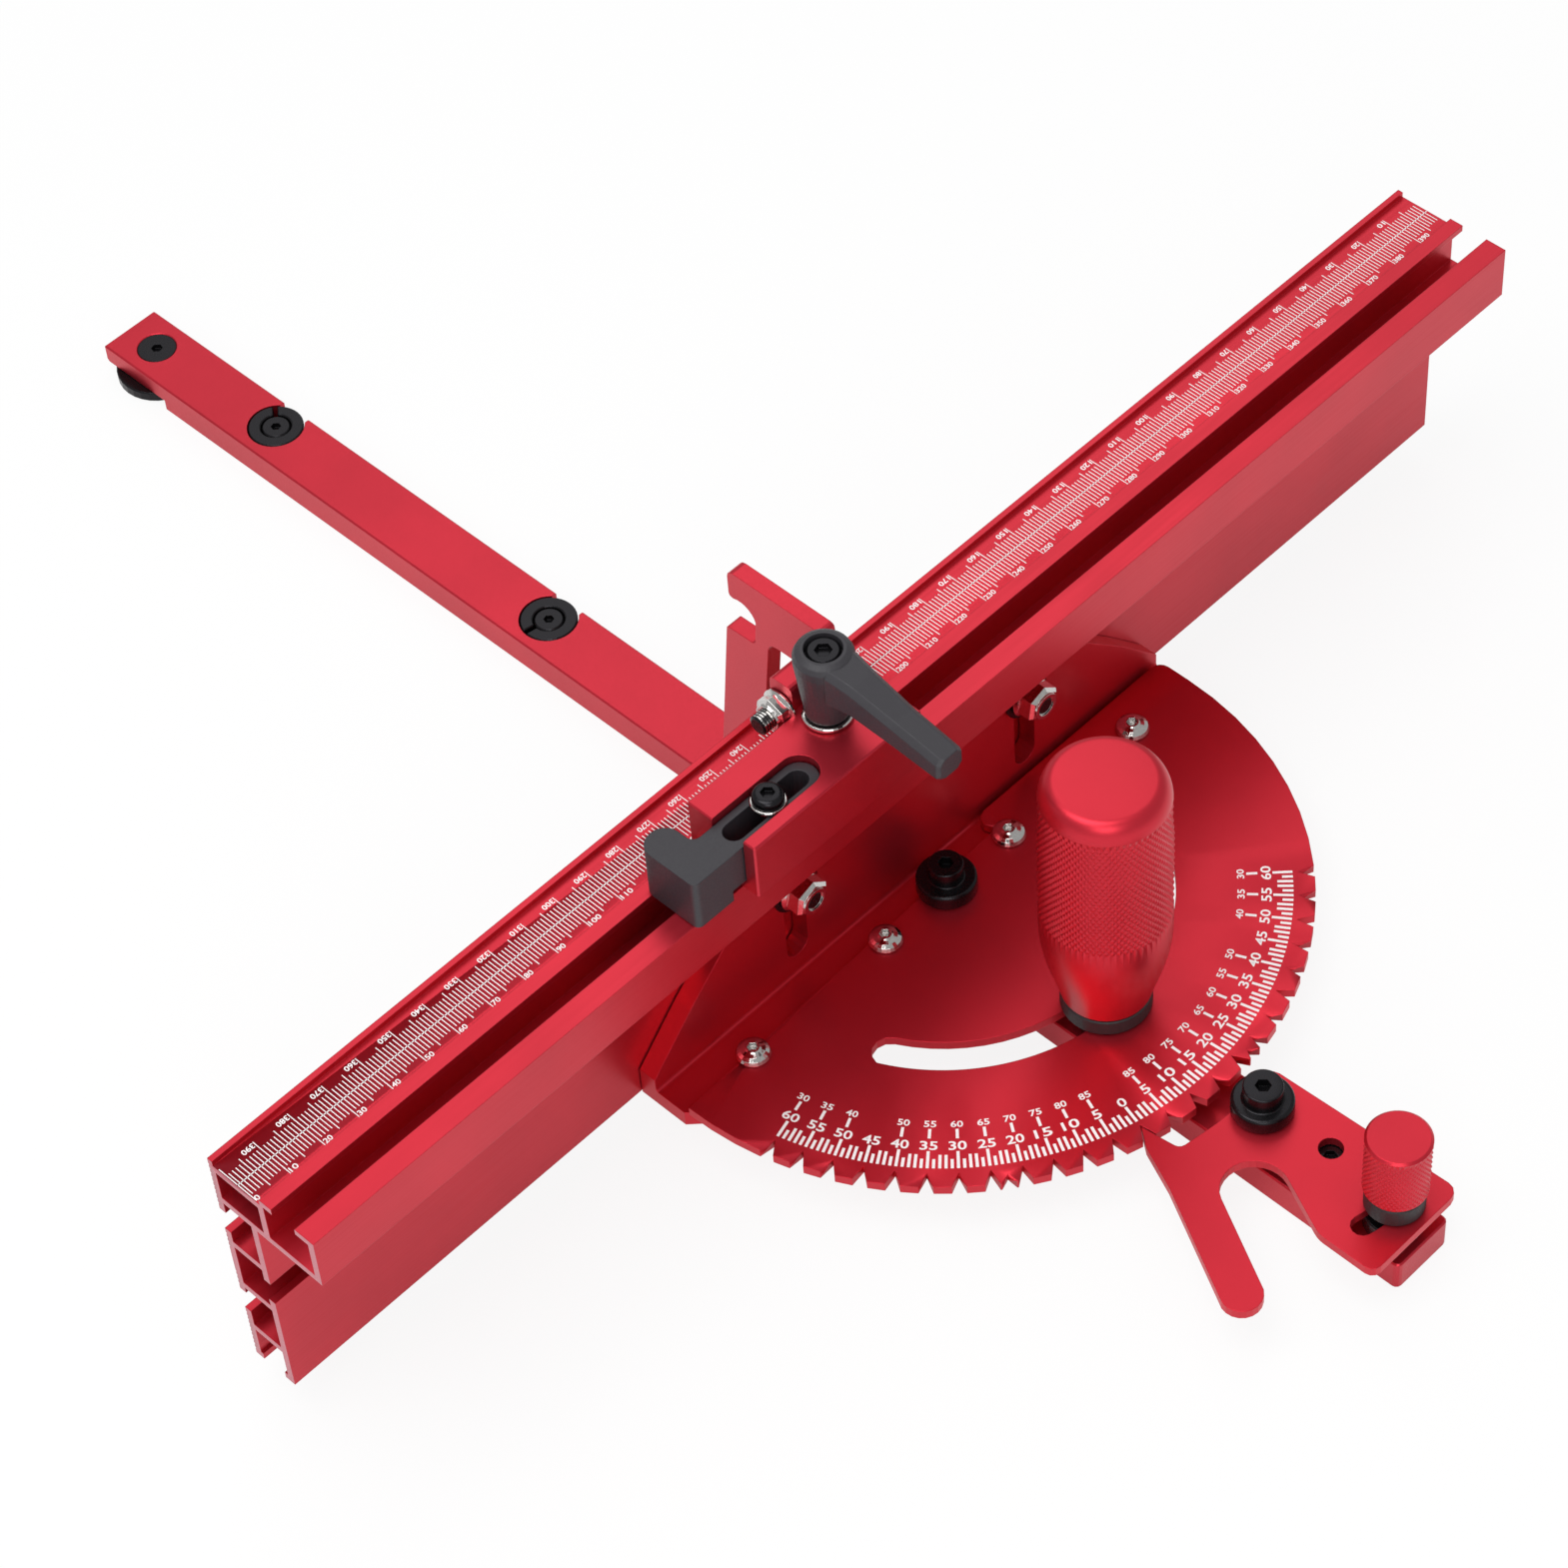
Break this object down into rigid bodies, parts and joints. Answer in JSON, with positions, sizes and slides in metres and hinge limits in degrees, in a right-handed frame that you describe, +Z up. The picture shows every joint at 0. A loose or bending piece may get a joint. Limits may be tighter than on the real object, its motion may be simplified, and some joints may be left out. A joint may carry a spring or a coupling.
{
  "type": "miter gauge",
  "caption": "Table-saw miter gauge with an indexed protractor head, a T-slot fence and a flip stop.",
  "frame": {"origin": "on the head's pivot axis, at the underside of the guide bar", "axes": "+Y along the guide bar to its far end, +X along the fence at zero degrees, +Z up"},
  "size_m": [0.4, 0.4526, 0.125],
  "materials": {
    "red_anodised": "satin",
    "black_oxide": "satin",
    "black_coated": "matte",
    "polished_steel": "gloss",
    "black_nylon": "matte"
  },
  "bodies": {
    "bar": {"miter_bar": "red_anodised", "tee_slot_disc": "black_oxide", "end_screw": "black_oxide", "expander_ring_1": "black_oxide", "expander_ring_2": "black_oxide", "expander_screw_1": "black_oxide", "expander_screw_2": "black_oxide", "pivot_screw": "black_oxide", "index_screw": "black_oxide", "index_spacer": "black_oxide", "handle_stud": "polished_steel", "handle_spacer": "black_oxide", "handle_washer": "black_nylon", "lock_stud": "polished_steel", "lock_spacer": "black_oxide", "lock_washer": "black_nylon", "index_stop_screw": "polished_steel"},
    "head": {"protractor_plate": "red_anodised", "fence_bracket": "red_anodised", "bracket_screw_1": "polished_steel", "bracket_screw_2": "polished_steel", "bracket_screw_3": "polished_steel", "bracket_screw_4": "polished_steel", "fence_bolt_left": "polished_steel", "fence_bolt_right": "polished_steel", "fence_nut_left": "polished_steel", "fence_nut_right": "polished_steel", "fence_washer_left": "black_oxide", "fence_washer_right": "black_oxide"},
    "fence": {"fence_rail": "red_anodised"},
    "stop": {"stop_block": "red_anodised", "clamp_tee_bolt": "polished_steel", "lever_washer": "polished_steel", "finger_screw": "black_oxide", "finger_washer": "polished_steel", "flip_bolt": "polished_steel", "flip_nut": "polished_steel"},
    "lever": {"clamp_lever": "black_coated", "lever_screw": "black_oxide"},
    "finger": {"adjust_finger": "black_coated"},
    "flip": {"flip_arm": "red_anodised"},
    "handle": {"clamp_handle": "red_anodised"},
    "index": {"index_plate": "red_anodised"},
    "knob": {"lock_knob": "red_anodised"}
  },
  "joints": [
    {"name": "head_pivot", "type": "hinge", "parent": "bar", "child": "head", "pos_m": [0, 0, 0.0142], "axis": [0, 0, 1], "range_deg": [-60.01, 60.01]},
    {"name": "fence_slide", "type": "slide", "parent": "head", "child": "fence", "axis": [1, 0, 0], "range_m": [-0.08, 0.08]},
    {"name": "stop_slide", "type": "slide", "parent": "fence", "child": "stop", "axis": [1, 0, 0], "range_m": [-0.11, 0.2]},
    {"name": "flip_hinge", "type": "hinge", "parent": "stop", "child": "flip", "pos_m": [-0.0213, 0.015, 0.1015], "axis": [1, 0, 0], "range_deg": [0, 78]},
    {"name": "finger_slide", "type": "slide", "parent": "stop", "child": "finger", "axis": [-1, 0, 0], "range_m": [0, 0.007]},
    {"name": "clamp_lever_turn", "type": "hinge", "parent": "stop", "child": "lever", "pos_m": [-0.0303, 0.00485, 0.1024], "axis": [0, 0, 1], "range_deg": [-90, 25]},
    {"name": "handle_turn", "type": "hinge", "parent": "bar", "child": "handle", "pos_m": [0, -0.0512, 0.0168], "axis": [0, 0, 1], "continuous": true},
    {"name": "index_swing", "type": "hinge", "parent": "bar", "child": "index", "pos_m": [0, -0.0992, 0.0142], "axis": [0, 0, 1], "range_deg": [0, 14]},
    {"name": "lock_knob_turn", "type": "hinge", "parent": "bar", "child": "knob", "pos_m": [0, -0.1383, 0.0168], "axis": [0, 0, 1], "continuous": true}
  ]
}
